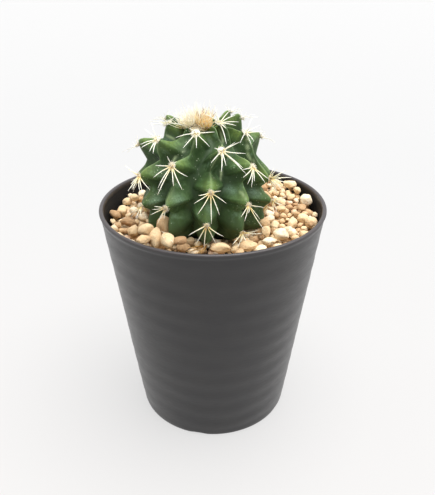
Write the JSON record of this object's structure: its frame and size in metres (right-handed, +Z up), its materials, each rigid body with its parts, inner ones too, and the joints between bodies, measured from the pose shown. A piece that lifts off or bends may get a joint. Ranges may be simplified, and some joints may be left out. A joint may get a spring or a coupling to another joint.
{
  "type": "potted round cactus",
  "caption": "Young round ribbed cactus with clusters of pale spines and a woolly crown, in a tapered dark plastic pot dressed with tan gravel.",
  "frame": {"origin": "on the pot's axis, at the level that its foot stands on", "axes": "+Z up along the pot's axis, -Y towards the side that the picture shows, +X to its right"},
  "size_m": [0.09, 0.09, 0.1345],
  "materials": {
    "pot_plastic": "matte charcoal, lightly rippled, with a soft grey sheen towards the sides",
    "potting_soil": "dark crumbly potting mix",
    "gravel_stone": "rounded tan pebbles, dry and matte, from cream to light brown",
    "stem_skin": "waxy semi-gloss green, darker in the furrows, with pale specks",
    "wool_and_spines": "cream felted wool with smooth ivory spines, yellow to tan at their bases"
  },
  "bodies": {
    "root": {"pot": "pot_plastic", "soil": "potting_soil", "gravel": "gravel_stone", "stem": "stem_skin", "crown_wool": "wool_and_spines", "spine_cluster_a2": "wool_and_spines", "spine_cluster_a3": "wool_and_spines", "spine_cluster_a4": "wool_and_spines", "spine_cluster_b1": "wool_and_spines", "spine_cluster_b2": "wool_and_spines", "spine_cluster_b3": "wool_and_spines", "spine_cluster_b4": "wool_and_spines", "spine_cluster_c2": "wool_and_spines", "spine_cluster_c3": "wool_and_spines", "spine_cluster_c4": "wool_and_spines", "spine_cluster_d1": "wool_and_spines", "spine_cluster_d2": "wool_and_spines", "spine_cluster_d3": "wool_and_spines", "spine_cluster_d4": "wool_and_spines", "spine_cluster_e2": "wool_and_spines", "spine_cluster_e3": "wool_and_spines", "spine_cluster_e4": "wool_and_spines", "spine_cluster_f1": "wool_and_spines", "spine_cluster_f2": "wool_and_spines", "spine_cluster_f3": "wool_and_spines", "spine_cluster_f4": "wool_and_spines", "spine_cluster_g2": "wool_and_spines", "spine_cluster_g3": "wool_and_spines", "spine_cluster_g4": "wool_and_spines", "spine_cluster_h1": "wool_and_spines", "spine_cluster_h2": "wool_and_spines", "spine_cluster_h3": "wool_and_spines", "spine_cluster_h4": "wool_and_spines", "spine_cluster_i2": "wool_and_spines", "spine_cluster_i3": "wool_and_spines", "spine_cluster_i4": "wool_and_spines", "spine_cluster_j1": "wool_and_spines", "spine_cluster_j2": "wool_and_spines", "spine_cluster_j3": "wool_and_spines", "spine_cluster_j4": "wool_and_spines"}
  },
  "joints": []
}
